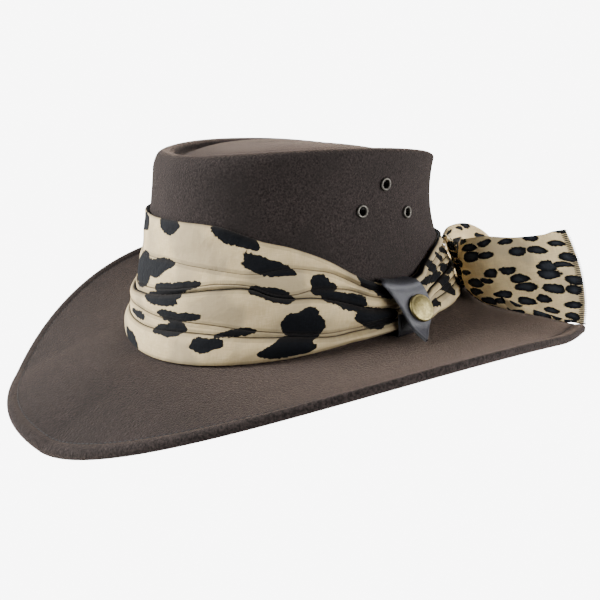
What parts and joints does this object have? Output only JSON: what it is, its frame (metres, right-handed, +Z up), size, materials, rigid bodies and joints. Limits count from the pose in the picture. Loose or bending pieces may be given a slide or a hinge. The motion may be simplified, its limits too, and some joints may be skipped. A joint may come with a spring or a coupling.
{
  "type": "bush hat",
  "caption": "Felt bush hat with a telescoped oval crown, upswept brim, pleated animal-print scarf, leather keepers with snaps, and vent eyelets.",
  "frame": {"origin": "on the floor, under the middle of the hat's outline", "axes": "+Z up; the front of the hat faces -Y; the wearer's left, where the scarf is knotted, is +X"},
  "size_m": [0.3276, 0.349, 0.1366],
  "materials": {
    "felt": "brown wool felt with a short suede-like nap",
    "scarf_cloth": "cream cotton voile printed with black animal spots",
    "leather": "smooth dark grey leather",
    "brass": "pale antique brass, satin",
    "nickel": "antique nickel plate, satin"
  },
  "bodies": {
    "root": {"crown": "felt", "brim": "felt", "scarf_band": "scarf_cloth", "scarf_knot": "scarf_cloth", "scarf_tail_near": "scarf_cloth", "scarf_tail_far": "scarf_cloth", "keeper_left": "leather", "keeper_right": "leather", "snap_cap_left": "brass", "snap_cap_right": "brass", "eyelet_left_1": "nickel", "eyelet_left_2": "nickel", "eyelet_left_3": "nickel", "eyelet_right_1": "nickel", "eyelet_right_2": "nickel", "eyelet_right_3": "nickel"}
  },
  "joints": []
}
